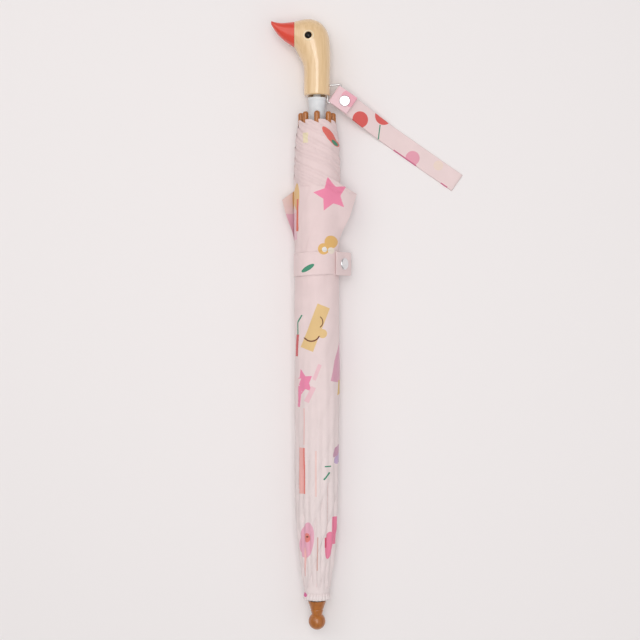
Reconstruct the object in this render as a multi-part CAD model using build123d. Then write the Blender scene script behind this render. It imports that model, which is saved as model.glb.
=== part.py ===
from build123d import *

import os
from math import atan2, cos, degrees, radians, sin, sqrt

# A child's stick umbrella, furled and tied, lying on its side.
# Millimetres, +Z up. The origin is on the shaft's axis at the middle of the grip, +Y runs along the shaft to
# the head, +X is the side the wrist strap lies on, and the beak points to -X.
# Spoke 1 (a rib and what it carries) is modelled straight above the shaft in the plane X = 0. The others are
# copies of it turned about the shaft, towards +X.

os.makedirs("parts", exist_ok=True)

# ------------------------------------------------------------ driving dimensions
SPOKES = 8
STEP = 360 / SPOKES

GRIP_BOTTOM_Y = -16.0
GRIP_R = 13.1

SHAFT_R = 4.0
SHAFT_WALL = 0.6
SHAFT_TOP_Y = 20.0
SHAFT_END_Y = -530.0
GLUE_GAP = 0.05

CROWN_Y = -508.0
PIVOT_R = 10.7
LINK = 230.0
JOINT_R = 12.1
TIP_U = 475.0
RUNNER_PIVOT_Y = CROWN_Y + 2 * LINK

REST_Z = -21.6


def save(shape, node):
    """Writes one node's solids to its own STEP file."""
    solids = shape.solids()
    whole = solids[0] if len(solids) == 1 else Compound(children=list(solids))
    export_step(whole, f"parts/{node}.step")


def tube(radius, bore, y_low, y_high):
    """A ring about the shaft's axis. With no bore it is a disc."""
    body = Cylinder(radius, y_high - y_low)
    if bore:
        body -= Cylinder(bore, y_high - y_low)
    return Pos(0, (y_low + y_high) / 2, 0) * Rot(90, 0, 0) * body


def block(x_low, x_high, y_low, y_high, z_low, z_high):
    """A box given by its six faces."""
    size = (x_high - x_low, y_high - y_low, z_high - z_low)
    middle = ((x_low + x_high) / 2, (y_low + y_high) / 2, (z_low + z_high) / 2)
    return Pos(*middle) * Box(*size)


def turned(points, arc=360):
    """A solid turned about the shaft's axis from a closed outline of (radius, y) points."""
    outline = Polyline(*[(0, y, r) for r, y in points], close=True)
    return revolve(make_face(outline), axis=Axis.Y, revolution_arc=arc)


def spoke_turn(number):
    """The turn about the shaft that carries spoke 1 to the numbered spoke."""
    return Rot(0, (number - 1) * STEP, 0)


# ------------------------------------------------------------ carved duck's head, which is also the grip
RECESS_R = 9.0
RECESS_TOP_Y = -11.0
EYE_R = 4.6
EYE_X = -8.4
EYE_Y = 42.0
EYE_Z = 10.9
NECK_TOP_Y = 8.0
RING_WIRE_R = 0.9
RING_LEG_X = 10.6
RING_TOP_Y = -5.5

# Sections from the top of the straight grip to the beak: throat point, back point, half width.
HEAD_SECTIONS = [
    ((-13.1, NECK_TOP_Y), (13.1, NECK_TOP_Y), GRIP_R),
    ((-13.2, 11.0), (13.2, 12.0), 13.15),
    ((-15.6, 19.5), (13.3, 25.0), 13.5),
    ((-19.8, 27.2), (12.3, 41.0), 14.3),
    ((-20.9, 29.4), (8.4, 51.6), 14.3),
    ((-21.6, 30.6), (0.0, 58.9), 13.6),
    ((-22.1, 31.3), (-11.5, 60.6), 12.0),
    ((-22.5, 31.9), (-22.4, 58.4), 9.7),
]
BEAK_SECTIONS = [
    ((-22.7, 32.2), (-22.6, 58.1), 9.4),
    ((-29.0, 36.6), (-29.0, 57.4), 7.9),
    ((-36.0, 42.0), (-36.0, 57.0), 6.2),
    ((-42.0, 49.0), (-42.0, 57.8), 4.0),
    ((-45.8, 55.4), (-45.8, 58.9), 1.9),
]


def oval(under, top, half_width):
    """One oval section across the neck, the head or the beak."""
    long_way = Vector(top[0] - under[0], top[1] - under[1], 0)
    middle = Vector((top[0] + under[0]) / 2, (top[1] + under[1]) / 2, 0)
    plane = Plane(origin=middle, x_dir=long_way, z_dir=Vector(0, 0, 1).cross(long_way))
    return plane * Ellipse(long_way.length / 2, half_width)


head = loft([oval(*section) for section in HEAD_SECTIONS])
beak = loft([oval(*section) for section in BEAK_SECTIONS])
grip = tube(GRIP_R, 0, GRIP_BOTTOM_Y, NECK_TOP_Y)
head += chamfer(grip.edges().filter_by(GeomType.CIRCLE).sort_by(Axis.Y)[0], 1.0)
head -= tube(RECESS_R, 0, GRIP_BOTTOM_Y - 1, RECESS_TOP_Y)
head -= tube(SHAFT_R + GLUE_GAP, 0, GRIP_BOTTOM_Y, SHAFT_TOP_Y + 0.5)
head -= Pos(RING_LEG_X, -12, 0) * Rot(90, 0, 0) * Cylinder(RING_WIRE_R + 0.35, 16)
head -= block(RING_LEG_X, 16, RING_TOP_Y - 1.3, RING_TOP_Y + 1.3, -3.4, 3.4)
for side in (-1, 1):
    head -= Pos(EYE_X, EYE_Y, side * EYE_Z) * Sphere(EYE_R + GLUE_GAP)
save(head, "duck_head")
save(beak, "beak")
save(Compound(children=[Pos(EYE_X, EYE_Y, side * EYE_Z) * Sphere(EYE_R) for side in (-1, 1)]), "bead_eyes")

# ------------------------------------------------------------ shaft tube and its spring catch
CATCH_W = 1.6
CATCH_SLOT_W = 2.4
CATCH_STOP_Y = -286.6
CATCH_NOSE_R = 6.0
shaft = tube(SHAFT_R, SHAFT_R - SHAFT_WALL, SHAFT_END_Y, SHAFT_TOP_Y)
shaft -= block(0, 6, CATCH_STOP_Y - 1.0, CATCH_STOP_Y + 12.5, -CATCH_SLOT_W / 2, CATCH_SLOT_W / 2)
save(shaft, "shaft_tube")

# The catch is a folded flat spring. Its square end is the stop and its slope lets the runner ride over it.
catch_side = Polyline(
    (CATCH_NOSE_R, CATCH_STOP_Y, 0),
    (CATCH_NOSE_R, CATCH_STOP_Y + 2.5, 0),
    (3.2, CATCH_STOP_Y + 11.5, 0),
    (1.6, CATCH_STOP_Y + 30, 0),
    (0.9, CATCH_STOP_Y + 30, 0),
    (2.2, CATCH_STOP_Y + 10.5, 0),
    (2.2, CATCH_STOP_Y, 0),
    close=True,
)
save(extrude(make_face(catch_side), CATCH_W / 2, both=True), "top_catch")

# ------------------------------------------------------------ crown: notch, hinge wire, rosette, ferrule
NOTCH_R = 12.0
NOTCH_LOW_Y = CROWN_Y - 3.0
NOTCH_HIGH_Y = CROWN_Y + 5.0
WIRE_R = 0.5
RIB_SLOT_W = 3.0
notch = tube(NOTCH_R, SHAFT_R + GLUE_GAP, NOTCH_LOW_Y, NOTCH_HIGH_Y)
notch -= Pos(0, CROWN_Y, 0) * Rot(90, 0, 0) * Torus(PIVOT_R, WIRE_R + 0.06)
for n in range(1, SPOKES + 1):
    notch -= spoke_turn(n) * block(-RIB_SLOT_W / 2, RIB_SLOT_W / 2, CROWN_Y - 1.7, CROWN_Y + 9, 8.4, 14)
save(notch, "crown_notch")
save(Pos(0, CROWN_Y, 0) * Rot(90, 0, 0) * Torus(PIVOT_R, WIRE_R), "crown_wire")

FERRULE_TOP_Y = -520.4
rosette = tube(13.3, SHAFT_R + GLUE_GAP, FERRULE_TOP_Y + 0.1, NOTCH_LOW_Y - 0.4)
rosette = fillet(rosette.edges().filter_by(GeomType.CIRCLE).sort_by(SortBy.RADIUS)[-2:], 1.5)
save(rosette, "crown_rosette")

BALL_R = 8.45
BALL_Y = -541.0
ferrule = turned([
    (0, FERRULE_TOP_Y), (8.85, FERRULE_TOP_Y), (8.6, -522.0), (6.5, -528.2), (5.9, -528.9),
    (5.9, -529.7), (6.2, -530.2), (5.5, -532.6), (5.2, -534.6), (5.6, -535.3), (0, -535.3),
])
ferrule += Pos(0, BALL_Y, 0) * (Sphere(BALL_R) & Box(20, 16.4, 20))
ferrule -= tube(SHAFT_R + GLUE_GAP, 0, SHAFT_END_Y - 0.4, FERRULE_TOP_Y + 1)
save(ferrule, "ferrule_tip")

# ------------------------------------------------------------ runner
RUNNER_BORE_R = 4.35
HUB_R = 12.0
FLANGE_R = 9.1
NECK_LOW_R = 7.5
NECK_HIGH_R = 8.7
runner = tube(HUB_R, RUNNER_BORE_R, RUNNER_PIVOT_Y - 5.0, RUNNER_PIVOT_Y + 4.0)
runner += turned([
    (RUNNER_BORE_R, RUNNER_PIVOT_Y + 4.0), (NECK_LOW_R, RUNNER_PIVOT_Y + 4.0), (NECK_LOW_R, -35.0),
    (NECK_HIGH_R, -21.0), (RUNNER_BORE_R, -21.0),
])
runner += tube(FLANGE_R, RUNNER_BORE_R, -21.0, -18.2)
runner -= block(0, 6.6, -60, -10, -1.4, 1.4)
for n in range(1, SPOKES + 1):
    runner -= spoke_turn(n) * block(-1.7, 1.7, -60, -30, 9.15, 14)
save(runner, "runner")

# ------------------------------------------------------------ ribs, wooden rib tips, stretchers
ROD_R = 1.3
EYE_RING_R = 1.35
EYE_HOLE_R = 0.75
TIP_R = 2.85
EAR_IN = 1.4
EAR_OUT = 2.2
ROD_LOW = (CROWN_Y + 3.0, PIVOT_R + 0.6)
ROD_BEND = (CROWN_Y + 40.0, PIVOT_R + 3.1)
ROD_HIGH = (CROWN_Y + 470.0, PIVOT_R + 5.3)
rod_slope = atan2(ROD_HIGH[1] - ROD_BEND[1], ROD_HIGH[0] - ROD_BEND[0])
joint_rod_r = ROD_BEND[1] + (LINK - 40.0) * (ROD_HIGH[1] - ROD_BEND[1]) / (ROD_HIGH[0] - ROD_BEND[0])


def pin(radius, x_low, x_high, y, z):
    """A cylinder across the spoke's plane, as a pivot is."""
    return Pos((x_low + x_high) / 2, y, z) * Rot(0, 90, 0) * Cylinder(radius, x_high - x_low)


def rod(radius, start, end):
    """A round rod in the spoke's plane between two (y, z) points."""
    run = Vector(0, end[0] - start[0], end[1] - start[1])
    plane = Plane(origin=(0, start[0], start[1]), x_dir=(1, 0, 0), z_dir=run)
    return plane * Pos(0, 0, run.length / 2) * Cylinder(radius, run.length)


def make_rib():
    rib = pin(EYE_RING_R, -1.2, 1.2, CROWN_Y, PIVOT_R)
    rib += rod(1.15, (CROWN_Y + 0.6, PIVOT_R + 0.15), ROD_LOW)
    rib += rod(ROD_R, ROD_LOW, ROD_BEND)
    rib += Pos(0, *ROD_BEND) * Sphere(ROD_R)
    rib += rod(ROD_R, ROD_BEND, ROD_HIGH)
    y = CROWN_Y + LINK
    for side in (-1, 1):
        ear = pin(1.7, EAR_IN, EAR_OUT, y, JOINT_R)
        ear += block(EAR_IN, EAR_OUT, y - 5, y + 5, JOINT_R - 0.4, joint_rod_r + 0.9)
        ear += block(0.6, EAR_OUT, y - 5, y + 5, joint_rod_r - 0.2, joint_rod_r + 0.9)
        rib += ear if side > 0 else mirror(ear, Plane.YZ)
    rib += pin(0.6, -EAR_OUT - 0.3, EAR_OUT + 0.3, y, JOINT_R)
    return rib - pin(EYE_HOLE_R, -3, 3, CROWN_Y, PIVOT_R)


def make_rib_tip():
    tip_run = TIP_U - 13.6
    low_r = ROD_BEND[1] + (tip_run - 40) * (ROD_HIGH[1] - ROD_BEND[1]) / (ROD_HIGH[0] - ROD_BEND[0])
    high_r = low_r + 13.6 * rod_slope
    tip = rod(TIP_R, (CROWN_Y + tip_run, low_r), (CROWN_Y + TIP_U, high_r))
    tip = fillet(tip.edges().filter_by(GeomType.CIRCLE).sort_by(Axis.Y)[-1], 2.5)
    tip = chamfer(tip.edges().filter_by(GeomType.CIRCLE).sort_by(Axis.Y)[0], 0.5)
    return tip - rod(ROD_R + GLUE_GAP, (CROWN_Y + tip_run - 2, low_r - 2 * rod_slope),
                     (ROD_HIGH[0] + 0.2, ROD_HIGH[1] + 0.2 * rod_slope))


def make_stretcher():
    low = (CROWN_Y + LINK, JOINT_R)
    high = (RUNNER_PIVOT_Y, PIVOT_R)
    run = Vector(0, high[0] - low[0], high[1] - low[1])
    plane = Plane(origin=(0, *low), x_dir=(1, 0, 0), z_dir=run)
    bar = plane * Pos(0, 0, run.length / 2) * Box(1.6, 1.9, run.length)
    bar += pin(1.4, -1.1, 1.1, *low)
    bar += pin(1.35, -1.2, 1.2, *high)
    return bar - pin(0.72, -3, 3, *low) - pin(0.6, -3, 3, *high)


# ------------------------------------------------------------ canopy
HEM_U = 461.0
# (distance from the crown's pivots, outer radius) of the furled bundle.
BUNDLE = [
    (10, 14.9), (22, 16.7), (43, 18.7), (60, 20.0), (88, 21.4), (138, 21.6), (188, 22.3),
    (288, 22.2), (304, 21.9), (328, 21.9), (348, 22.6), (388, 23.2), (408, 23.2), (438, 22.4),
    (453, 21.0), (HEM_U, 19.2),
]
BUNDLE_INSIDE = [(10, 14.1), (40, 15.7), (HEM_U, 17.7)]
FOLD_GAP = 0.35


def make_fold(number):
    """One furled panel: the wedge of the bundle between two neighbouring ribs."""
    points = [(r, CROWN_Y + u) for u, r in BUNDLE]
    points += [(r, CROWN_Y + u) for u, r in reversed(BUNDLE_INSIDE)]
    wedge = spoke_turn(number) * Rot(0, FOLD_GAP, 0) * turned(points, STEP - 2 * FOLD_GAP)
    return wedge & block(-60, 60, -600, 0, REST_Z, 60)


def make_gore():
    """The cloth along the inside of one panel, just clear of the two ribs it is sewn to."""
    start_u, end_u = 44.0, HEM_U - 4
    low, high = PIVOT_R + 3.2, PIVOT_R + 5.2
    points = [(low, CROWN_Y + start_u), (high, CROWN_Y + end_u), (high + 0.5, CROWN_Y + end_u),
              (low + 0.5, CROWN_Y + start_u)]
    return Rot(0, 10.5, 0) * turned(points, STEP - 21)


save(Compound(children=[s for n in range(SPOKES) for s in make_fold(n + 1).solids()]), "canopy_folds")
rib = make_rib()
rib_tip = make_rib_tip()
stretcher = make_stretcher()
gore = make_gore()
for n in range(1, SPOKES + 1):
    save(spoke_turn(n) * rib, f"rib_{n}")
    save(spoke_turn(n) * rib_tip, f"rib_tip_{n}")
    save(spoke_turn(n) * stretcher, f"stretcher_{n}")
    save(spoke_turn(n) * gore, f"gore_{n}")

# ------------------------------------------------------------ tie that holds the canopy furled
TIE_LOW_Y = -195.8
TIE_HIGH_Y = -172.4
TIE_MID_Y = (TIE_LOW_Y + TIE_HIGH_Y) / 2
TIE_R = 22.5
TIE_T = 0.8
TIE_TURN = 54.0
SNAP_R = 6.0


def snap_cap(radius, height):
    """A pressed metal cap with a rolled edge, standing on z = 0."""
    cap = Pos(0, 0, height / 2) * Cylinder(radius, height)
    return fillet(cap.edges().filter_by(GeomType.CIRCLE).sort_by(Axis.Z)[-1], height * 0.7)


def snap_stud(radius, height):
    """The half the cap presses onto: a flange with a round stud, standing on z = 0."""
    return Pos(0, 0, 0.25) * Cylinder(radius, 0.5) + Pos(0, 0, height / 2) * Cylinder(radius * 0.45, height)


band = tube(TIE_R + TIE_T, TIE_R, TIE_LOW_Y, TIE_HIGH_Y)
band &= block(-60, 60, -600, 0, REST_Z, 60)
# Both ends of the tie leave the bundle in a straight line, one over the other, and the snap joins them.
# tie_at puts the bundle's tangent there along +X and its outward normal along +Z.
TAB_R = TIE_R + TIE_T + 1.3
TAB_LENGTH_TIE = 23.6
SNAP_ALONG = 11.0
half_w = (TIE_HIGH_Y - TIE_LOW_Y) / 2
tie_at = Rot(0, TIE_TURN, 0) * Pos(0, TIE_MID_Y, 0)
band += tie_at * block(0, TAB_LENGTH_TIE - 2, -half_w, half_w, TIE_R, TIE_R + TIE_T)
tab = block(-2, TAB_LENGTH_TIE, 0.2 - half_w, half_w - 0.2, TAB_R, TAB_R + TIE_T)
save(band, "tie_band")
save(tie_at * tab, "tie_tab")
save(tie_at * Pos(SNAP_ALONG, 0, TAB_R + TIE_T + 0.05) * snap_cap(SNAP_R, 1.5), "tie_snap_cap")
save(tie_at * Pos(SNAP_ALONG, 0, TIE_R + TIE_T + 0.02) * snap_stud(4.6, 1.1), "tie_snap_stud")

# ------------------------------------------------------------ wrist ring, strap, tab and snap
STRAP_TURN = 34.8
BAR_MIDDLE = (18.2, -14.6)
BAR_HALF = 12.4
STRAP_W = 19.0
STRAP_T = 1.6
TAB_T = 0.8
TAB_LENGTH = 20.5
STRAP_SNAP_AT = 11.5
STRAP_LENGTH = 151.0
SLEEVE_IN = 1.3
down = radians(STRAP_TURN)
bar_top = (BAR_MIDDLE[0] + BAR_HALF * sin(down), BAR_MIDDLE[1] + BAR_HALF * cos(down), 0)
bar_low = (BAR_MIDDLE[0] - BAR_HALF * sin(down), BAR_MIDDLE[1] - BAR_HALF * cos(down), 0)
ring_path = FilletPolyline(
    (RING_LEG_X, RING_TOP_Y, 0), bar_top, bar_low, (RING_LEG_X, -20.4, 0),
    radius=1.25, close=True,
)
ring_start = Plane(origin=ring_path @ 0, z_dir=ring_path % 0)
save(sweep(ring_start * Circle(RING_WIRE_R), path=ring_path), "wrist_ring")

# The strap is a flat loop of webbing. It slopes from the ring down to the surface and then lies flat.
# Its own x runs out along it from the ring's bar, and its z is up.
strap_plane = Plane(origin=(*BAR_MIDDLE, 0), x_dir=(cos(down), -sin(down), 0), z_dir=(0, 0, 1))
strap_side = make_face(
    Spline((2.6, 0, -0.4), (34, 0, -9.4), (78, 0, REST_Z + STRAP_T), tangents=((1, 0, -0.05), (1, 0, 0)))
    + Line((78, 0, REST_Z + STRAP_T), (STRAP_LENGTH, 0, REST_Z + STRAP_T))
    + Line((STRAP_LENGTH, 0, REST_Z + STRAP_T), (STRAP_LENGTH, 0, REST_Z))
    + Line((STRAP_LENGTH, 0, REST_Z), (78, 0, REST_Z))
    + Spline((78, 0, REST_Z), (33.6, 0, -11.0), (2.6, 0, -2.0), tangents=((-1, 0, 0), (-1, 0, 0.05)))
    + Line((2.6, 0, -2.0), (2.6, 0, -0.4))
)
save(strap_plane * extrude(strap_side, STRAP_W / 2, both=True, dir=(0, 1, 0)), "wrist_strap")
sleeve = Rot(90, 0, 0) * (Cylinder(SLEEVE_IN + TAB_T, STRAP_W) - Cylinder(SLEEVE_IN, STRAP_W))
sleeve &= block(-5, 0, -STRAP_W, STRAP_W, -5, 5)
wrist_tab = sleeve + block(0, TAB_LENGTH, -STRAP_W / 2, STRAP_W / 2, SLEEVE_IN, SLEEVE_IN + TAB_T)
save(strap_plane * wrist_tab, "wrist_tab")
save(strap_plane * Pos(STRAP_SNAP_AT, 0, SLEEVE_IN + TAB_T + 0.05) * snap_cap(5.5, 1.5), "wrist_snap_cap")
save(strap_plane * Pos(STRAP_SNAP_AT, 0, -0.2) * snap_stud(4.2, 1.4), "wrist_snap_stud")
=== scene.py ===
import math

import bpy
import numpy as np
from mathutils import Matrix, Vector


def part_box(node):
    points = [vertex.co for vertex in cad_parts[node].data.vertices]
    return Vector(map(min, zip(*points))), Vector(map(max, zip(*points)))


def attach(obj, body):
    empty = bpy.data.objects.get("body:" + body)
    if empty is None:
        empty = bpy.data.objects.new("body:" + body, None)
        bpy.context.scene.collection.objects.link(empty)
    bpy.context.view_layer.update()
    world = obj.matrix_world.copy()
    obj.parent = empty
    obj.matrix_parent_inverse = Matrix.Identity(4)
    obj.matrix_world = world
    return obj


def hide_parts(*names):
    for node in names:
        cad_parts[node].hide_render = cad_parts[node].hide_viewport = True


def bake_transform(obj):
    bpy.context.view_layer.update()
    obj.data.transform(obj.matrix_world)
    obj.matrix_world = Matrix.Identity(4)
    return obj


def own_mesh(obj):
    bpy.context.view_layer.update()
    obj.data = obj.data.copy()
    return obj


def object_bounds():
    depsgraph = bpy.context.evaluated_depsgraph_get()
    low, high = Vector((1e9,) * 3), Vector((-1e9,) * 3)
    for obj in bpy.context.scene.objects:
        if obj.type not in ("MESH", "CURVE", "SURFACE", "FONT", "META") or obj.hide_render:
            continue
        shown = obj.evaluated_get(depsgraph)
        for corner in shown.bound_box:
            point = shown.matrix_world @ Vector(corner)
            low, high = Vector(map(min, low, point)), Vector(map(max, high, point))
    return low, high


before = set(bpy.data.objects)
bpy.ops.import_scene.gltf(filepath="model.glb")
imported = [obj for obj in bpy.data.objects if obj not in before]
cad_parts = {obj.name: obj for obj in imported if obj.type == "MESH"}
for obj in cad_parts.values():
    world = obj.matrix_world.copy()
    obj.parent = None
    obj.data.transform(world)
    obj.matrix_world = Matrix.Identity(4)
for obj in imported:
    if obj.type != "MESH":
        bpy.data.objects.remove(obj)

cad_low, cad_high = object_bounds()
scene = bpy.context.scene


# ---------------------------------------------------------------- floor, light and camera
# The umbrella lies flat on a pale paper sweep and is seen from straight above, with the head at the top.
# A large soft source stands at the upper left and a weaker one opposite. None of it belongs to the object.
def material(name, roughness=0.5):
    """A new material with its Principled shader ready."""
    m = bpy.data.materials.new(name)
    m.use_nodes = True
    shader = m.node_tree.nodes["Principled BSDF"]
    shader.inputs["Roughness"].default_value = roughness
    return m, m.node_tree, shader


floor_z = cad_low.z
bpy.ops.mesh.primitive_plane_add(size=9.0, location=(0, -0.24, floor_z - 0.0002))
floor = bpy.context.object
floor.name = "paper_sweep"
paper, tree, shader = material("paper", 0.85)
shader.inputs["Base Color"].default_value = (0.885, 0.845, 0.845, 1)
shader.inputs["Specular IOR Level"].default_value = 0.2
floor.data.materials.append(paper)

for name, place, size, power, colour in (
    ("key_light", (-0.9, 0.55, 1.6), 1.7, 8.8, (1.0, 0.985, 0.965)),
    ("fill_light", (1.3, -0.7, 1.5), 2.0, 5.0, (0.97, 0.985, 1.0)),
):
    lamp = bpy.data.lights.new(name, "AREA")
    lamp.size, lamp.energy, lamp.color = size, power, colour
    holder = bpy.data.objects.new(name, lamp)
    holder.location = place
    holder.rotation_euler = (Vector((0, -0.24, 0)) - Vector(place)).to_track_quat("-Z", "Y").to_euler()
    scene.collection.objects.link(holder)

# A long softbox straight overhead gives the lacquer its narrow highlight along the shaft.
strip_lamp = bpy.data.lights.new("overhead_softbox", "AREA")
strip_lamp.shape, strip_lamp.size, strip_lamp.size_y, strip_lamp.energy = "RECTANGLE", 0.8, 1.5, 15.0
strip = bpy.data.objects.new("overhead_softbox", strip_lamp)
strip.location = (0.02, -0.2, 1.9)
scene.collection.objects.link(strip)

world = bpy.data.worlds.new("studio")
world.use_nodes = True
world.node_tree.nodes["Background"].inputs["Color"].default_value = (0.97, 0.96, 0.95, 1)
world.node_tree.nodes["Background"].inputs["Strength"].default_value = 0.41
scene.world = world
scene.view_settings.view_transform = "Standard"

lens = bpy.data.cameras.new("camera")
lens.sensor_width, lens.lens = 36, 36 * 1.35 / 0.64
camera = bpy.data.objects.new("camera", lens)
camera.location = (0.003, -0.240, 1.35)
scene.collection.objects.link(camera)
scene.camera = camera


# ---------------------------------------------------------------- carved head and grip
# A duck's head and neck in one piece of pale wood, turned and carved, then sanded and dipped in clear gloss
# lacquer. The shaft is glued into it from below.
def new_group(name, inputs, outputs):
    """An empty shader node group with the named sockets, each given as (name, kind)."""
    group = bpy.data.node_groups.new(name, "ShaderNodeTree")
    for way, sockets in (("INPUT", inputs), ("OUTPUT", outputs)):
        for label, kind in sockets:
            group.interface.new_socket(label, in_out=way, socket_type=f"NodeSocket{kind}")
    return group, group.nodes.new("NodeGroupInput"), group.nodes.new("NodeGroupOutput")


def two_tones(group, entry, share, low, high):
    """Goes from the group's Dark colour to its Light one as share rises from low to high."""
    spread = group.nodes.new("ShaderNodeMapRange")
    spread.inputs["From Min"].default_value = low
    spread.inputs["From Max"].default_value = high
    mix = group.nodes.new("ShaderNodeMix")
    mix.data_type = "RGBA"
    group.links.new(share, spread.inputs["Value"])
    group.links.new(spread.outputs["Result"], mix.inputs["Factor"])
    group.links.new(entry.outputs["Dark"], mix.inputs["A"])
    group.links.new(entry.outputs["Light"], mix.inputs["B"])
    return mix.outputs["Result"]


def place_group(tree, group, values):
    """Puts a group in a material and sets its inputs."""
    step = tree.nodes.new("ShaderNodeGroup")
    step.node_tree = group
    for label, value in values.items():
        step.inputs[label].default_value = value
    return step


wood_grain, entry, leave = new_group(
    "wood_grain",
    [("Stretch", "Vector"), ("Light", "Color"), ("Dark", "Color")],
    [("Color", "Color"), ("Height", "Float")],
)
where = wood_grain.nodes.new("ShaderNodeTexCoord")
stretch = wood_grain.nodes.new("ShaderNodeMapping")
grain = wood_grain.nodes.new("ShaderNodeTexNoise")
grain.inputs["Scale"].default_value = 1.0
grain.inputs["Detail"].default_value = 5.0
grain.inputs["Roughness"].default_value = 0.62
fine = wood_grain.nodes.new("ShaderNodeTexNoise")
fine.inputs["Scale"].default_value = 3.1
fine.inputs["Detail"].default_value = 2.0
mixed = wood_grain.nodes.new("ShaderNodeMath")
mixed.operation = "MULTIPLY_ADD"
mixed.inputs[1].default_value = 0.45
wood_grain.links.new(where.outputs["Object"], stretch.inputs["Vector"])
wood_grain.links.new(entry.outputs["Stretch"], stretch.inputs["Scale"])
for noise in (grain, fine):
    wood_grain.links.new(stretch.outputs["Vector"], noise.inputs["Vector"])
wood_grain.links.new(fine.outputs["Fac"], mixed.inputs[0])
wood_grain.links.new(grain.outputs["Fac"], mixed.inputs[2])
wood_grain.links.new(two_tones(wood_grain, entry, mixed.outputs[0], 0.42, 0.88), leave.inputs["Color"])
wood_grain.links.new(mixed.outputs[0], leave.inputs["Height"])


def wood(name, light, dark, scale, roughness, coat):
    """Straight-grained wood under lacquer. The grain runs along Y."""
    m, tree, shader = material(name, roughness)
    along_grain = 0.06
    values = {"Stretch": (scale, scale * along_grain, scale), "Light": (*light, 1), "Dark": (*dark, 1)}
    grain = place_group(tree, wood_grain, values)
    bump = tree.nodes.new("ShaderNodeBump")
    bump.inputs["Strength"].default_value = 0.06
    bump.inputs["Distance"].default_value = 0.0003
    tree.links.new(grain.outputs["Color"], shader.inputs["Base Color"])
    tree.links.new(grain.outputs["Height"], bump.inputs["Height"])
    tree.links.new(bump.outputs["Normal"], shader.inputs["Normal"])
    shader.inputs["Coat Weight"].default_value = coat
    shader.inputs["Coat Roughness"].default_value = 0.06
    return m


def dress(node, finish):
    """Puts a material on a CAD node and smooths its shading."""
    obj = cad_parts[node]
    obj.data.materials.clear()
    obj.data.materials.append(finish)
    obj.data.shade_smooth()
    edges = obj.modifiers.new("crisp_edges", "EDGE_SPLIT")
    edges.split_angle = math.radians(35)
    return obj


pale_wood = wood("pale_lacquered_wood", (0.86, 0.605, 0.345), (0.72, 0.475, 0.24), 330, 0.34, 1.0)
head = dress("duck_head", pale_wood)

# ---------------------------------------------------------------- beak
# The beak is the same carving dipped in coral gloss paint, with a hard edge where it meets the bare wood.
paint_clouds, entry, leave = new_group(
    "paint_clouds", [("Scale", "Float"), ("Light", "Color"), ("Dark", "Color")], [("Color", "Color")]
)
where = paint_clouds.nodes.new("ShaderNodeTexCoord")
cloud = paint_clouds.nodes.new("ShaderNodeTexNoise")
paint_clouds.links.new(where.outputs["Object"], cloud.inputs["Vector"])
paint_clouds.links.new(entry.outputs["Scale"], cloud.inputs["Scale"])
tone = two_tones(paint_clouds, entry, cloud.outputs["Fac"], 0.0, 1.0)
paint_clouds.links.new(tone, leave.inputs["Color"])


def paint(name, light, dark, scale, roughness):
    """A smooth glossy finish, brushed paint or a polished bead, a little uneven in tone."""
    m, tree, shader = material(name, roughness)
    values = {"Scale": scale, "Light": (*light, 1), "Dark": (*dark, 1)}
    clouds = place_group(tree, paint_clouds, values)
    tree.links.new(clouds.outputs["Color"], shader.inputs["Base Color"])
    return m, shader


coral, shader = paint("coral_gloss_paint", (0.80, 0.068, 0.034), (0.68, 0.045, 0.022), 90.0, 0.32)
shader.inputs["Coat Weight"].default_value = 0.8
shader.inputs["Coat Roughness"].default_value = 0.08
dress("beak", coral)

# ---------------------------------------------------------------- eyes
# Two glossy black half-beads let into the wood, each with a thin cream ring painted round it.
bead, shader = paint("black_bead", (0.007, 0.006, 0.006), (0.003, 0.003, 0.003), 400.0, 0.12)
shader.inputs["Specular IOR Level"].default_value = 0.25
eyes = dress("bead_eyes", bead)

cream, shader = paint("cream_paint", (0.88, 0.76, 0.56), (0.78, 0.63, 0.42), 300.0, 0.35)
eye_low, eye_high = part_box("bead_eyes")
eye_x, eye_y = (eye_low.x + eye_high.x) / 2, (eye_low.y + eye_high.y) / 2
bpy.context.view_layer.update()
RING_INNER, RING_OUTER = 0.0043, 0.0053
RING_STEPS = 48
for side, name in ((-1, "eye_ring_left"), (1, "eye_ring_right")):
    verts = []
    for radius in (RING_INNER, (RING_INNER + RING_OUTER) / 2, RING_OUTER):
        for k in range(RING_STEPS):
            turn = 2 * math.pi * k / RING_STEPS
            x, y = eye_x + radius * math.cos(turn), eye_y + radius * math.sin(turn)
            start = Vector((x, y, side * 0.05))
            inward = Vector((0, 0, -side))
            hit, point, _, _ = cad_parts["duck_head"].ray_cast(start, inward, distance=0.1)
            z = point.z if hit and abs(point.z) > 0.009 else side * 0.0118
            verts.append(Vector((x, y, z + side * 0.00008)))
    faces = []
    for k in range(2 * RING_STEPS):
        ahead = k + 1 if (k + 1) % RING_STEPS else k + 1 - RING_STEPS
        faces.append((k, ahead, ahead + RING_STEPS, k + RING_STEPS))
    ring_mesh = bpy.data.meshes.new(name)
    ring_mesh.from_pydata(verts, [], faces)
    ring = bpy.data.objects.new(ring_mesh.name, ring_mesh)
    scene.collection.objects.link(ring)
    ring.data.materials.append(cream)
    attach(ring, "shaft")


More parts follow.
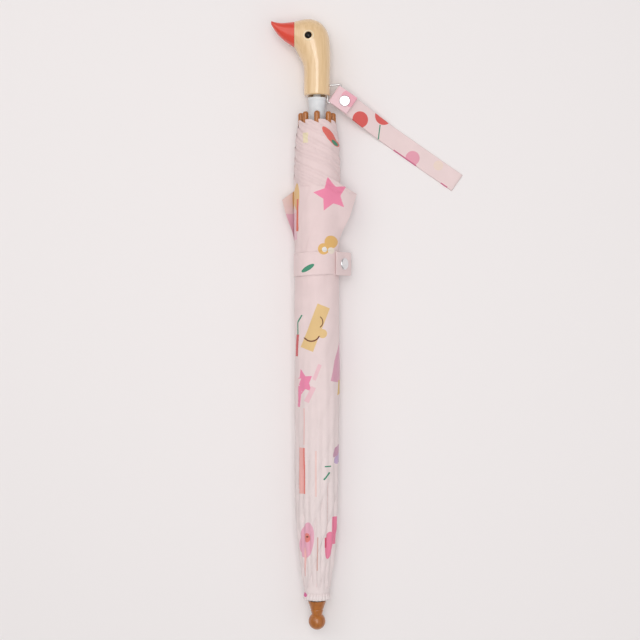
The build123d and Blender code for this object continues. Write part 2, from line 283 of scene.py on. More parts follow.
# ---------------------------------------------------------------- shaft, crown and runner
# The shaft is a seamed steel tube in white enamel. The notch at the crown and the runner that slides on the
# shaft are moulded white plastic, and the ribs' hinge wire is bright steel.
faint_clouds, entry, leave = new_group(
    "faint_clouds",
    [("Stretch", "Vector"), ("Light", "Color"), ("Dark", "Color"), ("Smooth", "Float"), ("Rough", "Float")],
    [("Color", "Color"), ("Roughness", "Float")],
)
where = faint_clouds.nodes.new("ShaderNodeTexCoord")
stretch = faint_clouds.nodes.new("ShaderNodeMapping")
cloud = faint_clouds.nodes.new("ShaderNodeTexNoise")
cloud.inputs["Scale"].default_value = 1.0
cloud.inputs["Detail"].default_value = 4.0
wear = faint_clouds.nodes.new("ShaderNodeMapRange")
faint_clouds.links.new(where.outputs["Object"], stretch.inputs["Vector"])
faint_clouds.links.new(entry.outputs["Stretch"], stretch.inputs["Scale"])
faint_clouds.links.new(stretch.outputs["Vector"], cloud.inputs["Vector"])
faint_clouds.links.new(cloud.outputs["Fac"], wear.inputs["Value"])
faint_clouds.links.new(entry.outputs["Smooth"], wear.inputs["To Min"])
faint_clouds.links.new(entry.outputs["Rough"], wear.inputs["To Max"])
tone = two_tones(faint_clouds, entry, cloud.outputs["Fac"], 0.3, 0.7)
faint_clouds.links.new(tone, leave.inputs["Color"])
faint_clouds.links.new(wear.outputs["Result"], leave.inputs["Roughness"])


def dusty(name, light, dark, scale, roughness, metallic=0.0, coat=0.0, streak=1.0):
    """Plastic, enamel or metal with faint clouds, drawn out along Y where streak is small."""
    m, tree, shader = material(name, roughness)
    values = {"Stretch": (scale, scale * streak, scale), "Light": (*light, 1), "Dark": (*dark, 1)}
    values |= {"Smooth": roughness * 0.8, "Rough": min(1.0, roughness * 1.25)}
    clouds = place_group(tree, faint_clouds, values)
    tree.links.new(clouds.outputs["Color"], shader.inputs["Base Color"])
    tree.links.new(clouds.outputs["Roughness"], shader.inputs["Roughness"])
    shader.inputs["Metallic"].default_value = metallic
    shader.inputs["Coat Weight"].default_value = coat
    return m


enamel = dusty("white_enamel", (0.80, 0.79, 0.78), (0.72, 0.71, 0.70), 120, 0.3, coat=0.4, streak=0.1)
dress("shaft_tube", enamel)
plastic = dusty("white_plastic", (0.78, 0.79, 0.81), (0.70, 0.71, 0.73), 160, 0.42)
for node in ("runner", "crown_notch"):
    dress(node, plastic)
chrome = dusty("bright_steel", (0.84, 0.84, 0.85), (0.74, 0.74, 0.76), 260, 0.12, 1.0)
dress("crown_wire", chrome)
spring_steel = dusty("spring_steel", (0.55, 0.55, 0.56), (0.40, 0.40, 0.42), 300, 0.3, metallic=1.0)
dress("top_catch", spring_steel)

# ---------------------------------------------------------------- ferrule
# The tip is turned from brown stained wood with a ball at its end, and varnished.
brown = wood("brown_varnished_wood", (0.48, 0.155, 0.020), (0.31, 0.088, 0.011), 420, 0.34, 0.5)
dress("ferrule_tip", brown)

# ---------------------------------------------------------------- ribs, rib tips and stretchers
# Eight round rods in brown enamel, each with a folded bracket where its stretcher hinges, and a turned and
# varnished wooden tip pressed on its outer end.
rod_paint = dusty("brown_enamel", (0.26, 0.13, 0.065), (0.17, 0.08, 0.04), 200, 0.35, 0.0, 0.3, 0.2)
for n in range(1, 9):
    dress(f"rib_{n}", rod_paint)
    dress(f"stretcher_{n}", rod_paint)
    dress(f"rib_tip_{n}", brown)


# ---------------------------------------------------------------- printed canopy cloth
# Pale pink pongee, a plain weave, printed with stars, cherries, daisies, leaves, hearts and smiling blocks.
# The print is a repeat, laid in the flat cloth's own coordinates.
def inside(tree, point, kind, centre, size, turn=0.0, squeeze=1.0):
    """A mask that is 1 inside a motif. point is the cloth's coordinates in millimetres."""
    n, link = tree.nodes, tree.links

    def maths(operation, a, b=None, c=None):
        step = n.new("ShaderNodeMath")
        step.operation = operation
        for k, value in enumerate((a, b, c)):
            if value is not None:
                if isinstance(value, (int, float)):
                    step.inputs[k].default_value = value
                else:
                    link.new(value, step.inputs[k])
        return step.outputs[0]

    local = n.new("ShaderNodeMapping")
    local.vector_type = "TEXTURE"
    local.inputs["Location"].default_value = (centre[0], centre[1], 0)
    local.inputs["Rotation"].default_value = (0, 0, math.radians(turn))
    local.inputs["Scale"].default_value = (size, size * squeeze, 1)
    link.new(point, local.inputs["Vector"])
    parts = n.new("ShaderNodeSeparateXYZ")
    link.new(local.outputs["Vector"], parts.inputs[0])
    x, y = parts.outputs["X"], parts.outputs["Y"]
    if kind == "star":
        angle = maths("PINGPONG", maths("ARCTAN2", x, y), math.pi / 5)
        radius = maths("SQRT", maths("ADD", maths("MULTIPLY", x, x), maths("MULTIPLY", y, y)))
        along, across = maths("COSINE", angle), maths("SINE", angle)
        inner = 0.5
        ax, ay = inner * math.cos(math.pi / 5), inner * math.sin(math.pi / 5)
        nx, ny = ay, 1 - ax
        far = maths("MULTIPLY", radius, maths("MULTIPLY_ADD", across, ny, maths("MULTIPLY", along, nx)))
        value = maths("DIVIDE", far, nx)
    elif kind == "box":
        value = maths("MAXIMUM", maths("ABSOLUTE", x), maths("ABSOLUTE", y))
    elif kind == "half":
        ball = maths("SQRT", maths("ADD", maths("MULTIPLY", x, x), maths("MULTIPLY", y, y)))
        value = maths("MAXIMUM", ball, maths("ADD", maths("MULTIPLY", y, 4.0), 1.0))
    elif kind == "heart":
        lobe = maths("MULTIPLY_ADD", maths("SQRT", maths("ABSOLUTE", x)), -0.55, maths("MULTIPLY", y, 1.1))
        value = maths("SQRT", maths("ADD", maths("MULTIPLY", x, x), maths("MULTIPLY", lobe, lobe)))
    elif kind == "smile":
        ball = maths("SQRT", maths("ADD", maths("MULTIPLY", x, x), maths("MULTIPLY", y, y)))
        off = maths("MULTIPLY", maths("ABSOLUTE", maths("SUBTRACT", ball, 1.0)), 13.0)
        value = maths("MAXIMUM", off, maths("MULTIPLY_ADD", y, 3.0, 2.5))
    elif kind == "flower":
        angle = maths("ARCTAN2", x, y)
        ball = maths("SQRT", maths("ADD", maths("MULTIPLY", x, x), maths("MULTIPLY", y, y)))
        petals = maths("COSINE", maths("MULTIPLY", angle, 6.0))
        value = maths("DIVIDE", ball, maths("MULTIPLY_ADD", petals, 0.16, 0.84))
    else:
        value = maths("SQRT", maths("ADD", maths("MULTIPLY", x, x), maths("MULTIPLY", y, y)))
    return maths("LESS_THAN", value, 1.0)


def print_group(name, ground, motifs, repeat=None, pale=None):
    """A node group that gives the print's colour at a point of the cloth, in millimetres.

    pale is where along Y the ground starts and ends fading, and the colour it fades to."""
    group, entry, leave = new_group(name, [("Point", "Vector")], [("Color", "Color")])
    n, link = group.nodes, group.links
    point = entry.outputs["Point"]
    if repeat:
        wrap = n.new("ShaderNodeVectorMath")
        wrap.operation = "WRAP"
        wrap.inputs[1].default_value = (repeat[0], repeat[1], 1)
        wrap.inputs[2].default_value = (0, 0, -1)
        link.new(point, wrap.inputs[0])
        point = wrap.outputs["Vector"]
    colour = None
    if pale:
        parts = n.new("ShaderNodeSeparateXYZ")
        link.new(point, parts.inputs[0])
        fade = n.new("ShaderNodeMapRange")
        fade.inputs["From Min"].default_value = pale[0]
        fade.inputs["From Max"].default_value = pale[1]
        link.new(parts.outputs["Y"], fade.inputs["Value"])
        mix = n.new("ShaderNodeMix")
        mix.data_type = "RGBA"
        mix.inputs["A"].default_value = (*ground, 1)
        mix.inputs["B"].default_value = (*pale[2], 1)
        link.new(fade.outputs["Result"], mix.inputs["Factor"])
        colour = mix.outputs["Result"]
    for kind, centre, size, turn, squeeze, paint in motifs:
        mask = inside(group, point, kind, centre, size, turn, squeeze)
        mix = n.new("ShaderNodeMix")
        mix.data_type = "RGBA"
        mix.inputs["A"].default_value = (*ground, 1)
        if colour is not None:
            link.new(colour, mix.inputs["A"])
        mix.inputs["B"].default_value = (*paint, 1)
        link.new(mask, mix.inputs["Factor"])
        colour = mix.outputs["Result"]
    link.new(colour, leave.inputs["Color"])
    return group


PINK, CORAL, ROSE = (0.88, 0.20, 0.34), (0.82, 0.22, 0.19), (0.80, 0.42, 0.50)
AMBER, GREEN, RED, BROWN = (0.80, 0.48, 0.17), (0.07, 0.29, 0.18), (0.66, 0.09, 0.10), (0.17, 0.055, 0.03)
LILAC, WHITE = (0.55, 0.40, 0.60), (0.86, 0.82, 0.80)
GROUND = (0.84, 0.665, 0.66)
repeat_print = print_group("repeat_print", GROUND, [
    ("star", (30, 100), 17, 12, 1.0, PINK),
    ("half", (75, 112), 9, 20, 1.0, RED),
    ("half", (92, 98), 9, -25, 1.0, RED),
    ("box", (84, 118), 7.5, 50, 0.12, GREEN),
    ("flower", (112, 60), 13, 0, 1.0, AMBER),
    ("ball", (112, 60), 4, 0, 1.0, WHITE),
    ("box", (35, 40), 11, 25, 1.9, AMBER),
    ("smile", (35, 42), 6, 25, 1.0, BROWN),
    ("ball", (75, 68), 9, -20, 0.4, GREEN),
    ("heart", (76, 26), 9, 10, 1.0, ROSE),
    ("star", (122, 18), 14, -20, 1.0, CORAL),
    ("ball", (10, 66), 5, 0, 1.4, LILAC),
    ("ball", (128, 106), 7, 40, 0.5, CORAL),
], (140, 130))
# The print as it falls on the upper side of the furled roll, by place along and across the roll.
roll_print = print_group("roll_print", GROUND, [
    ("box", (0.0, -516.8), 20.0, 0, 0.10, (0.84, 0.74, 0.73)),
    ("star", (13.9, -116.3), 17.6, 12, 1.0, (0.90, 0.27, 0.42)),
    ("ball", (13.2, -58.5), 12, -50, 0.30, (0.78, 0.17, 0.14)),
    ("ball", (17.5, -64.5), 4, -40, 0.4, GREEN),
    ("ball", (13.8, -163.0), 6.3, 0, 1.0, AMBER),
    ("ball", (6.5, -170.0), 5.6, 0, 1.0, AMBER),
    ("ball", (14.0, -171.5), 3.2, 0, 1.0, (0.86, 0.76, 0.66)),
    ("ball", (7.5, -170.5), 2.6, 0, 1.0, WHITE),
    ("ball", (-9.0, -188.9), 7.2, 31, 0.32, GREEN),
    ("box", (-1.7, -247.6), 6.6, -21.5, 3.5, (0.80, 0.55, 0.26)),
    ("ball", (5.5, -253.4), 4.5, 0, 1.0, (0.80, 0.55, 0.26)),
    ("smile", (-5.7, -252.2), 8.7, 6, 1.0, BROWN),
    ("smile", (0.0, -242.0), 5.9, 90, 1.0, BROWN),
    ("box", (-17.0, -238.8), 0.7, -27.5, 6.0, GREEN),
    ("box", (-18.6, -251.4), 0.7, 2, 12.8, GREEN),
    ("box", (-19.6, -265.2), 1.5, -4, 7.2, RED),
    ("star", (-13.0, -301.5), 10.0, 14, 1.35, (0.86, 0.27, 0.43)),
    ("star", (-21.5, -303.0), 7.0, 14, 1.7, GROUND),
    ("box", (-17.7, -315.6), 1.5, -4, 7.0, (0.86, 0.27, 0.43)),
    ("box", (0.0, -291.4), 1.9, -22, 4.3, (0.86, 0.55, 0.60)),
    ("box", (-6.9, -313.4), 2.4, -26, 3.4, (0.86, 0.55, 0.60)),
    ("box", (23.4, -281.5), 5.5, -12, 3.7, (0.72, 0.37, 0.48)),
    ("box", (22.1, -307.5), 0.8, -5, 9.2, (0.74, 0.47, 0.16)),
    ("box", (-15.8, -389.0), 3.0, 0, 7.6, (0.88, 0.45, 0.42)),
    ("box", (-12.6, -389.0), 0.8, 0, 28.4, (0.82, 0.19, 0.16)),
    ("box", (10.9, -384.5), 3.0, 0, 0.22, GREEN),
    ("box", (9.9, -394.0), 0.8, -40, 5.8, GREEN),
    ("ball", (21.5, -377.5), 2.8, -20, 2.0, LILAC),
    ("ball", (20.0, -370.0), 2.9, -30, 2.4, (0.60, 0.33, 0.45)),
    ("ball", (26.0, -388.5), 2.4, 0, 2.0, RED),
    ("ball", (-10.3, -457.7), 7.2, -6, 2.5, (0.82, 0.42, 0.53)),
    ("ball", (-10.0, -455.0), 2.6, 0, 1.8, (0.80, 0.24, 0.22)),
    ("ball", (-9.5, -454.0), 0.9, 0, 1.0, BROWN),
    ("box", (16.9, -448.8), 2.0, -2, 6.9, (0.84, 0.22, 0.35)),
    ("ball", (12.4, -463.0), 4.0, -6, 3.4, (0.84, 0.24, 0.37)),
    ("box", (9.2, -460.0), 1.2, 0, 4.2, (0.70, 0.08, 0.16)),
    ("ball", (-11.9, -513.8), 2.0, 0, 1.0, (0.72, 0.15, 0.35)),
    ("box", (-25.5, -147.0), 4.8, 4, 2.8, (0.82, 0.50, 0.58)),
    ("ball", (-20.3, -117.5), 2.8, 0, 4.8, (0.82, 0.52, 0.22)),
    ("box", (-11.2, -60.0), 2.3, 0, 2.2, (0.86, 0.74, 0.52)),
    ("box", (-12.6, -345.0), 0.5, 0, 36, (0.85, 0.50, 0.48)),
    ("box", (-12.4, -480.0), 0.6, 0, 24, (0.85, 0.50, 0.48)),
    ("box", (0.5, -471.0), 0.6, -1, 28, (0.70, 0.42, 0.38)),
    ("box", (10.9, -427.0), 0.5, -1, 52, (0.78, 0.58, 0.56)),
    ("box", (-1.1, -391.5), 0.9, 0, 25, (0.86, 0.61, 0.58)),
    ("box", (-19.5, -136.0), 1.0, 0, 16.0, (0.76, 0.16, 0.10)),
], pale=(-190.0, -400.0, (0.83, 0.715, 0.708)))


plain_weave, entry, leave = new_group(
    "plain_weave", [("Point", "Vector"), ("Print", "Color")], [("Color", "Color"), ("Height", "Float")]
)
tone = plain_weave.nodes.new("ShaderNodeTexNoise")
tone.inputs["Scale"].default_value = 0.06
tone.inputs["Detail"].default_value = 4.0
shade = plain_weave.nodes.new("ShaderNodeMapRange")
shade.inputs["To Min"].default_value = 0.93
shade.inputs["To Max"].default_value = 1.05
times = plain_weave.nodes.new("ShaderNodeVectorMath")
times.operation = "SCALE"
crossing = plain_weave.nodes.new("ShaderNodeMath")
crossing.operation = "MULTIPLY"
for k, axis in enumerate(("X", "Y")):
    yarn = plain_weave.nodes.new("ShaderNodeTexWave")
    yarn.bands_direction = axis
    yarn.inputs["Scale"].default_value = 0.9
    plain_weave.links.new(entry.outputs["Point"], yarn.inputs["Vector"])
    plain_weave.links.new(yarn.outputs["Fac"], crossing.inputs[k])
plain_weave.links.new(entry.outputs["Point"], tone.inputs["Vector"])
plain_weave.links.new(tone.outputs["Fac"], shade.inputs["Value"])
plain_weave.links.new(entry.outputs["Print"], times.inputs[0])
plain_weave.links.new(shade.outputs["Result"], times.inputs["Scale"])
plain_weave.links.new(times.outputs["Vector"], leave.inputs["Color"])
plain_weave.links.new(crossing.outputs[0], leave.inputs["Height"])


def cloth(name, group):
    """Woven cloth under a print. The cloth's coordinates are its UV map, in metres."""
    m, tree, shader = material(name, 0.68)
    n, link = tree.nodes, tree.links
    uv = n.new("ShaderNodeUVMap")
    uv.uv_map = "cloth"
    millimetres = n.new("ShaderNodeVectorMath")
    millimetres.operation = "SCALE"
    millimetres.inputs["Scale"].default_value = 1000.0
    link.new(uv.outputs["UV"], millimetres.inputs[0])
    printed = place_group(tree, group, {})
    woven = place_group(tree, plain_weave, {})
    link.new(millimetres.outputs["Vector"], printed.inputs["Point"])
    link.new(millimetres.outputs["Vector"], woven.inputs["Point"])
    link.new(printed.outputs["Color"], woven.inputs["Print"])
    link.new(woven.outputs["Color"], shader.inputs["Base Color"])
    bump = n.new("ShaderNodeBump")
    bump.inputs["Strength"].default_value = 0.25
    bump.inputs["Distance"].default_value = 0.00012
    link.new(woven.outputs["Height"], bump.inputs["Height"])
    link.new(bump.outputs["Normal"], shader.inputs["Normal"])
    shader.inputs["Sheen Weight"].default_value = 0.25
    shader.inputs["Sheen Roughness"].default_value = 0.5
    shader.inputs["Specular IOR Level"].default_value = 0.25
    return m


roll_cloth = cloth("printed_pongee_roll", roll_print)
flat_cloth = cloth("printed_pongee", repeat_print)


def grid_mesh(name, points, uv):
    """A mesh from rows of points, with the cloth's coordinates as its UV map."""
    rows, columns = len(points), len(points[0])
    mesh = bpy.data.meshes.new(name)
    faces = [
        (r * columns + c, r * columns + c + 1, (r + 1) * columns + c + 1, (r + 1) * columns + c)
        for r in range(rows - 1) for c in range(columns - 1)
    ]
    mesh.from_pydata([tuple(p) for row in points for p in row], [], faces)
    layer = mesh.uv_layers.new(name="cloth")
    flat = [q for row in uv for q in row]
    for loop in mesh.loops:
        layer.data[loop.index].uv = flat[loop.vertex_index]
    obj = bpy.data.objects.new(name, mesh)
    scene.collection.objects.link(obj)
    mesh.shade_smooth()
    return obj


# ---------------------------------------------------------------- furled folds of the canopy
# Each panel's loose cloth is folded in half along its middle and rolled round the ribs, all eight the same
# way. A fold is narrow at the crown and widest near the hem, where its corner stands out.
CROWN_Y = -0.508
PROFILE_U = [0, 10, 22, 43, 60, 88, 138, 188, 288, 304, 316, 330, 348, 388, 408, 438, 453, 461, 470]
PROFILE_R = [
    13.0, 15.0, 17.0, 18.9, 20.2, 21.5, 21.8, 22.4, 22.3, 21.9,
    21.9, 21.9, 22.6, 22.8, 22.9, 22.2, 20.6, 19.0, 18.4,
]
INNER_U = [0, 40, 470]
INNER_R = [12.6, 15.3, 17.6]
RIB_CLOTH = 470.0  # length of the cloth along a rib
TIED_AT = 323.0  # middle of the tie, from the crown
LOOSE_FROM = 338.0  # from here to the hem the corners stand away from the roll


def wrinkle(azimuth, u):
    """The furled roll's creases, in millimetres, the same for every layer so that they never cross."""
    near_crown = np.clip(3.0 - u / 100.0, 0.12, 2.1)
    drift = 0.7 * np.sin(azimuth * 2.0 + 0.6)
    pleat = np.abs(np.sin(azimuth * 8.5 + drift + 0.3 * np.sin(u / 41.0) + 0.004 * u))
    soft = 0.40 * np.sin(azimuth * 5.0 + u / 37.0) + 0.28 * np.sin(azimuth * 9.0 - u / 23.0 + 1.7)
    soft = soft + 0.22 * np.sin(azimuth * 3.0 + u / 15.0) + 0.12 * np.sin(azimuth * 17.0 + u / 11.0)
    tied = 1.0 - 0.7 * np.exp(-((u - TIED_AT) / 18.0) ** 2)
    gather = 0.35 * np.exp(-((u - TIED_AT) / 34.0) ** 2) * np.sin(azimuth * 24.0)
    return (near_crown * (pleat ** 0.7 - 0.75) * min(1.0, 0.35 + u / 60.0) + 0.75 * soft) * tied + gather


# Where round the roll each loose corner leaves it, in degrees, and how much of its run stays straight.
RELEASED = {1: (395.0, 0.95), 2: (395.0, 0.95), 5: (585.0, 0.84), 6: (585.0, 0.87)}


def fold_point(number, u, v, v_edge, lift):
    """Where a point of a fold lies: u from the crown along the rib, v from the rib to the folded edge."""
    inner, outer = np.interp(u, INNER_U, INNER_R), np.interp(u, PROFILE_U, PROFILE_R)
    share = v / max(v_edge, 1e-6)
    radius = inner + (outer - inner) * share ** 0.45
    radius -= 0.9 * np.clip((share - 0.90) / 0.10, 0.0, 1.0) ** 2 * np.clip((345.0 - u) / 40.0, 0.0, 1.0)
    wound = v / (0.55 * inner + 0.45 * outer)
    start = math.radians((number - 1) * 45.0)
    azimuth = start + wound
    release, keep = RELEASED.get(number, (1e9, 1.0))
    release = math.radians(release)
    loose = np.clip((u - LOOSE_FROM) / 34.0, 0.0, 1.0)
    loose = loose * loose * (3 - 2 * loose)
    wrinkled = radius + wrinkle(azimuth, u) + lift
    x, z = wrinkled * math.sin(azimuth), wrinkled * math.cos(azimuth)
    if azimuth > release and loose > 0:
        run = (azimuth - release) * radius * keep
        base = radius + wrinkle(release, u) + lift
        fx = base * math.sin(release) + run * math.cos(release)
        fz = base * math.cos(release) - run * math.sin(release)
        fz += 1.3 * math.sin(run / 7.0 + u / 16.0) * min(1.0, run / 12.0)
        x, z = x + (fx - x) * loose, z + (fz - z) * loose
    return x, z


REST = floor_z * 1000.0
CORNER_V = 150.0
CORNER_U = {1: 394.0, 2: 394.0, 5: 388.0, 6: 388.0}


def fold_edge(number, u):
    """How far the folded edge, and beyond the corner the hem, lies from the rib."""
    corner = CORNER_U.get(number, 400.0)
    return CORNER_V * (u / corner if u <= corner else (RIB_CLOTH - u) / (RIB_CLOTH - corner))


def fold_row(number, u, across, lift):
    """One row of a fold at u, at the given distances from the rib, with the cloth's coordinates."""
    row, row_uv = [], []
    for v, raised in zip(across, lift):
        x, z = fold_point(number, u, v, fold_edge(number, u), raised)
        flat_z = REST + 0.25 + max(0.0, 0.2 * raised)
        if z < flat_z + 1.2:
            z = flat_z + 1.2 * math.exp((z - flat_z - 1.2) / 1.2)
        y = CROWN_Y * 1000.0 + u + 0.5 * math.sin(v / 9.0 + number)
        row.append((x / 1000.0, y / 1000.0, z / 1000.0))
        top = z > -9.0 or (number in (5, 6) and x < -15.0)
        smooth, reach = np.interp(u, PROFILE_U, PROFILE_R), math.hypot(x, z)
        free = min(1.0, max(0.0, (reach - smooth - 1.5) / 3.0)) if u > LOOSE_FROM else 0.0
        print_x = x * ((1 - free) * smooth / reach + free)
        row_uv.append((print_x / 1000.0, y / 1000.0) if top else (v / 1000.0 + 0.03 * number, u / 1000.0))
    return row, row_uv


def furl(piece):
    """Gives a piece of the rolled cloth its material and carries it on the shaft, so that it stays at the
    crown.
    """
    piece.data.materials.append(roll_cloth)
    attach(piece, "shaft")
    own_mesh(piece)


HEM_BACK = np.array([0.0, 0.3, 1.3, 1.7, 2.1, 4.0, 6.0, 6.4, 6.8, 7.6, 7.9])
HEM_THICK = np.array([0.10, 0.42, 0.52, 0.30, 0.52, 0.55, 0.52, 0.30, 0.52, 0.42, 0.02])
for number in range(1, 9):
    corner = CORNER_U.get(number, 400.0)
    along = np.concatenate([np.linspace(1.0, corner, 100), np.linspace(corner, 466, 35)[1:]])
    for layer in (0, 1):
        points, uv = [], []
        for u in along:
            share = np.linspace(0, 1, 74)
            bow = (0.24 if layer else -0.02) * np.sin(np.pi * share) ** 0.5
            row, row_uv = fold_row(number, u, share * fold_edge(number, u), bow)
            points.append(row)
            uv.append(row_uv)
        flap = grid_mesh(f"fold_{number}_{'over' if layer else 'under'}", points, uv)
        furl(flap)
        if number == 1 and layer == 0:
            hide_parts("canopy_folds")
    # The hem is turned over twice and stitched down in two rows.
    points, uv = [], []
    for u in np.linspace(corner + 0.6, 464, 50):
        edge = fold_edge(number, u)
        across = np.maximum(edge + 0.1 - HEM_BACK * min(1.0, edge / 8.5), 0.0)
        row, row_uv = fold_row(number, u, across, HEM_THICK + 0.1)
        points.append(row)
        uv.append(row_uv)
    hem = grid_mesh(f"hem_{number}", points, uv)
    furl(hem)

# The cloth between the folds closes the roll all the way round, just under the folds.
SLEEVE_INSET, SLEEVE_MIN_R = 0.95, 12.6
points, uv = [], []
for u in np.linspace(-3.5, 462.0, 150):
    row, row_uv = [], []
    for c in range(361):
        turn = 2 * math.pi * c / 360
        r = max(np.interp(u, PROFILE_U, PROFILE_R) - SLEEVE_INSET + wrinkle(turn, u), SLEEVE_MIN_R)
        x, z = r * math.sin(turn), max(r * math.cos(turn), REST + 0.35)
        row.append((x / 1000.0, CROWN_Y + u / 1000.0, z / 1000.0))
        print_x = np.interp(u, PROFILE_U, PROFILE_R) * math.sin(turn)
        row_uv.append((print_x / 1000.0, CROWN_Y + u / 1000.0))
    points.append(row)
    uv.append(row_uv)
sleeve = grid_mesh("fold_middle", points, uv)
furl(sleeve)

# ---------------------------------------------------------------- cloth round the crown
# The eight panels meet at the crown and are gathered there under the ferrule's shoulder, with a short
# standing rim of folded cloth.
# Place along the shaft, radius and depth of the gathers, from the roll to the rim.
RIM = (
    (-0.5040, 11.6, 0.5),
    (-0.5080, 11.6, 0.6),
    (-0.5110, 11.9, 0.7),
    (-0.5125, 12.3, 0.8),
    (-0.5150, 12.9, 0.9),
    (-0.5170, 13.3, 1.0),
    (-0.5182, 13.3, 1.0),
    (-0.5187, 12.5, 0.7),
    (-0.5188, 9.2, 0.1),
)
points, uv = [], []
for k, (y, radius, depth) in enumerate(RIM):
    row, row_uv = [], []
    for c in range(193):
        turn = 2 * math.pi * c / 192
        r = radius + depth * (abs(math.sin(turn * 11.0 + 0.25 * k)) - 0.6)
        row.append((r * math.sin(turn) / 1000.0, y, r * math.cos(turn) / 1000.0))
        row_uv.append((r * math.sin(turn) / 1000.0, y))
    points.append(row)
    uv.append(row_uv)
rosette = grid_mesh("gathered_rim", points, uv)
rosette.data.materials.append(roll_cloth)
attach(rosette, "shaft")
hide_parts("crown_rosette")

# ---------------------------------------------------------------- cloth between the ribs
# The part of each panel that stays sewn along its two ribs. It is folded away inside the roll when furled,
# and becomes the whole canopy when the frame opens.
SEAM_R, SEAM_Y = 0.016, -0.28
for number in range(1, 9):
    points, uv = [], []
    a0, a1 = math.radians((number - 1) * 45.0), math.radians(number * 45.0)
    for u in np.linspace(4, 466, 60):
        rod = np.interp(u, [3, 40, 470], [11.4, 13.8, 16.0]) + 1.75
        row, row_uv = [], []
        for t in np.linspace(0, 1, 25):
            x = rod * ((1 - t) * math.sin(a0) + t * math.sin(a1))
            z = rod * ((1 - t) * math.cos(a0) + t * math.cos(a1))
            scallop = 14.0 * 4 * t * (1 - t) * (u / 466.0) ** 2
            row.append((x / 1000.0, CROWN_Y + (u - scallop) / 1000.0, z / 1000.0))
            row_uv.append(((t - 0.5) * 0.69 * u / 1000.0 + 0.07 * number, u / 1000.0))
        points.append(row)
        uv.append(row_uv)
    gore = grid_mesh(f"panel_{number}", points, uv)
    gore.data.materials.append(flat_cloth)
    start = (SEAM_R * math.sin(a0), SEAM_Y, SEAM_R * math.cos(a0))
    end = (SEAM_R * math.sin(a1), SEAM_Y, SEAM_R * math.cos(a1))
    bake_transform(gore)
    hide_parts(f"gore_{number}")

# ---------------------------------------------------------------- tie round the canopy
# A strip of the canopy's own cloth, doubled and stitched along both edges. It goes once round the roll, and
# its loose end closes with a press stud.
stitched = cloth("printed_tie", roll_print)
band_low, band_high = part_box("tie_band")
band_mid, band_half = (band_low.y + band_high.y) / 2, (band_high.y - band_low.y) / 2
STRIP_R = 22.75
# Place across the strip, as a share of its half width, and how far the cloth stands out there.
ACROSS = (
    (-1.0, -0.35), (-0.96, 0.22), (-0.86, 0.30), (-0.82, 0.20), (-0.78, 0.30), (-0.3, 0.34),
    (0.3, 0.34), (0.78, 0.30), (0.82, 0.20), (0.86, 0.30), (0.96, 0.22), (1.0, -0.35),
)
points, uv = [], []
for t, proud in ACROSS:
    row, row_uv = [], []
    for c in range(181):
        turn = 2 * math.pi * c / 180
        r = STRIP_R + proud + 0.18 * math.sin(turn * 7.0) + 0.10 * math.sin(turn * 13.0 + 1.0)
        x, z = r * math.sin(turn), max(r * math.cos(turn), REST + 0.15)
        y = band_mid + band_half * t + 0.0012 * math.sin(turn)
        row.append((x / 1000.0, y, z / 1000.0))
        row_uv.append((x / 1000.0, y))
    points.append(row)
    uv.append(row_uv)
band = grid_mesh("tie_strip", points, uv)
band.data.materials.append(stitched)
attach(band, "rib_2")
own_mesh(band)
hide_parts("tie_band")

# ---------------------------------------------------------------- tie's two ends
# Both ends leave the roll in a straight line, doubled and stitched like the rest of the tie. The lower one
# is sewn on over a rib and carries the stud, and the upper one has the cap pressed through it.
LEAVES_AT = math.radians(54)
TAIL_OFFSET, LOOSE_OFFSET = 22.9, 25.0
outward = np.array((math.sin(LEAVES_AT), math.cos(LEAVES_AT)))
away = np.array((math.cos(LEAVES_AT), -math.sin(LEAVES_AT)))
tab_low, tab_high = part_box("tie_tab")
tab_mid, tab_half = (tab_low.y + tab_high.y) / 2, (tab_high.y - tab_low.y) / 2
sewn = [(18.3, 45), (19.6, 46.5), (20.9, 48.5), (22.0, 51)]
tail_path = [np.array((r * math.sin(math.radians(a)), r * math.cos(math.radians(a)))) for r, a in sewn]
tail_path += [outward * TAIL_OFFSET + away * d for d in np.linspace(0, 21.4, 16)]
tab_path = [
    outward * (LOOSE_OFFSET + 0.10 * math.sin(d / 4.0)) + away * d
    for d in np.linspace(-1.9, 23.5, 31)
]
for name, path, body in (("tie_tail", tail_path, "rib_2"), ("tie_loose_end", tab_path, "tie_tab")):
    points, uv = [], []
    for t, proud in ACROSS:
        row, row_uv = [], []
        for k, place in enumerate(path):
            x, z = place + outward * 0.35 * (proud - 0.34)
            y = tab_mid + tab_half * t * (1.0 - 0.03 * max(0, k - len(path) + 3))
            row.append((x / 1000.0, y, z / 1000.0))
            row_uv.append((0.05 + 0.001 * k, y))
        points.append(row)
        uv.append(row_uv)
    end = grid_mesh(name, points, uv)
    thick = end.modifiers.new("two_layers", "SOLIDIFY")
    thick.thickness, thick.offset = 0.0007, 0.0
    end.data.materials.append(stitched)
    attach(end, body)
    if body == "tie_tab":
        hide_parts("tie_tab")

# ---------------------------------------------------------------- press studs
# Four-part press studs in polished steel: a dished cap with a rolled edge on the outside, and a flange with
# its stud beneath.
for node in ("tie_snap_cap", "wrist_snap_cap", "tie_snap_stud", "wrist_snap_stud"):
    dress(node, chrome)

# ---------------------------------------------------------------- wrist ring
# A closed ring of bright steel wire. One leg turns in a hole in the neck and the strap hangs on the other.
steel_wire = dusty("steel_wire", (0.60, 0.58, 0.57), (0.46, 0.44, 0.43), 260, 0.18, metallic=1.0)
dress("wrist_ring", steel_wire)

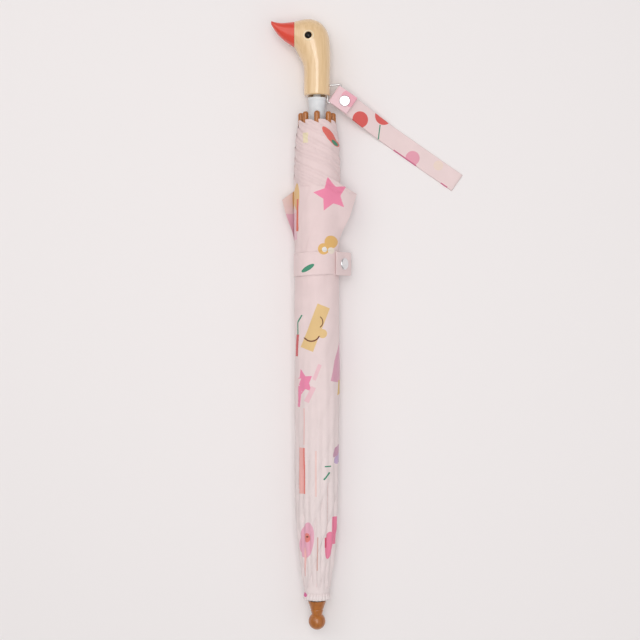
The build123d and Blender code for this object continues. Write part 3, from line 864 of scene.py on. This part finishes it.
# ---------------------------------------------------------------- wrist strap
# One long strip of the canopy's cloth, folded flat into a loop of two layers and stitched along its edges.
# It slopes from the ring to the surface and lies flat from there.
strap_print = print_group("strap_print", (0.84, 0.67, 0.665), [
    ("ball", (34.2, -4.9), 7.9, 0, 1.0, (0.72, 0.12, 0.11)),
    ("ball", (51.2, 12.3), 8.8, 0, 1.0, (0.72, 0.12, 0.11)),
    ("box", (56.7, -3.2), 0.6, 28, 11.8, GREEN),
    ("ball", (99.5, -5.2), 7.2, 0, 1.0, (0.80, 0.36, 0.45)),
    ("ball", (125.4, 3.6), 5.0, 0, 1.0, (0.85, 0.68, 0.60)),
    ("box", (93.0, -9.6), 14.0, 0, 0.06, (0.70, 0.20, 0.32)),
    ("box", (141.5, -9.6), 4.0, 0, 0.18, (0.70, 0.20, 0.32)),
])
strap_cloth = cloth("printed_strap", strap_print)
STRAP_END_S = 151.2
STRAP_ACROSS = (-9.6, -9.2, -8.4, -8.0, -7.6, -3.0, 0.0, 3.0, 7.6, 8.0, 8.4, 9.2, 9.6)
tilt = math.radians(34.8)
bar = np.array((0.0182, -0.0146))
out_way = np.array((math.cos(tilt), -math.sin(tilt)))
side_way = np.array((math.sin(tilt), math.cos(tilt)))
for layer, name in enumerate(("strap_under", "strap_over")):
    points, uv = [], []
    for s in np.linspace(2.2, STRAP_END_S, 110):
        drop = np.clip((s - 2.2) / 74.0, 0, 1)
        drop = drop * drop * (3 - 2 * drop)
        z = -1.5 + (REST + 0.45 + 1.5) * drop
        z += 0.75 * layer * min(1.0, (STRAP_END_S - s) / 3.0, (s - 0.5) / 3.0)
        z += 0.12 * math.sin(s / 13.0 + layer)
        row, row_uv = [], []
        for w in STRAP_ACROSS:
            shift = -0.45 * (1 - layer)
            stitch = -0.10 if abs(abs(w) - 8.0) < 0.1 else 0.0
            edge = -0.12 if abs(w) > 9.5 else 0.0
            p = bar + out_way * s / 1000.0 + side_way * (w + shift) / 1000.0
            row.append((p[0], p[1], (z + stitch + edge) / 1000.0))
            row_uv.append((s / 1000.0, w / 1000.0))
        points.append(row)
        uv.append(row_uv)
    strap = grid_mesh(name, points, uv)
    thick = strap.modifiers.new("cloth_thickness", "SOLIDIFY")
    thick.thickness, thick.offset = 0.0004, 0.0
    strap.data.materials.append(strap_cloth)
    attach(strap, "wrist_strap")
    if layer == 0:
        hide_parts("wrist_strap")

# ---------------------------------------------------------------- strap's fold-over end
# The strap's end is taken round the ring's bar and back over itself, and the press stud holds it there.
tab_print = print_group("tab_print", (0.86, 0.60, 0.64), [
    ("ball", (16.0, 6.0), 11.0, 20, 0.8, (0.86, 0.42, 0.50)),
])
tab_cloth = cloth("printed_strap_end", tab_print)
points, uv = [], []
path = [(1.7 * math.cos(math.radians(a)), 1.7 * math.sin(math.radians(a))) for a in range(270, 89, -15)]
path += [(s, 1.7 + 0.1 * math.sin(s / 5.0)) for s in np.linspace(1.5, 20.5, 16)]
for s, z in path:
    row, row_uv = [], []
    for w in STRAP_ACROSS:
        stitch = -0.10 if abs(abs(w) - 8.0) < 0.1 else 0.0
        p = bar + out_way * s / 1000.0 + side_way * w / 1000.0
        row.append((p[0], p[1], (z + stitch) / 1000.0))
        row_uv.append((s / 1000.0, w / 1000.0))
    points.append(row)
    uv.append(row_uv)
tab = grid_mesh("strap_end", points, uv)
thick = tab.modifiers.new("cloth_thickness", "SOLIDIFY")
thick.thickness, thick.offset = 0.0006, 0.0
tab.data.materials.append(tab_cloth)
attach(tab, "wrist_tab")
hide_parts("wrist_tab")
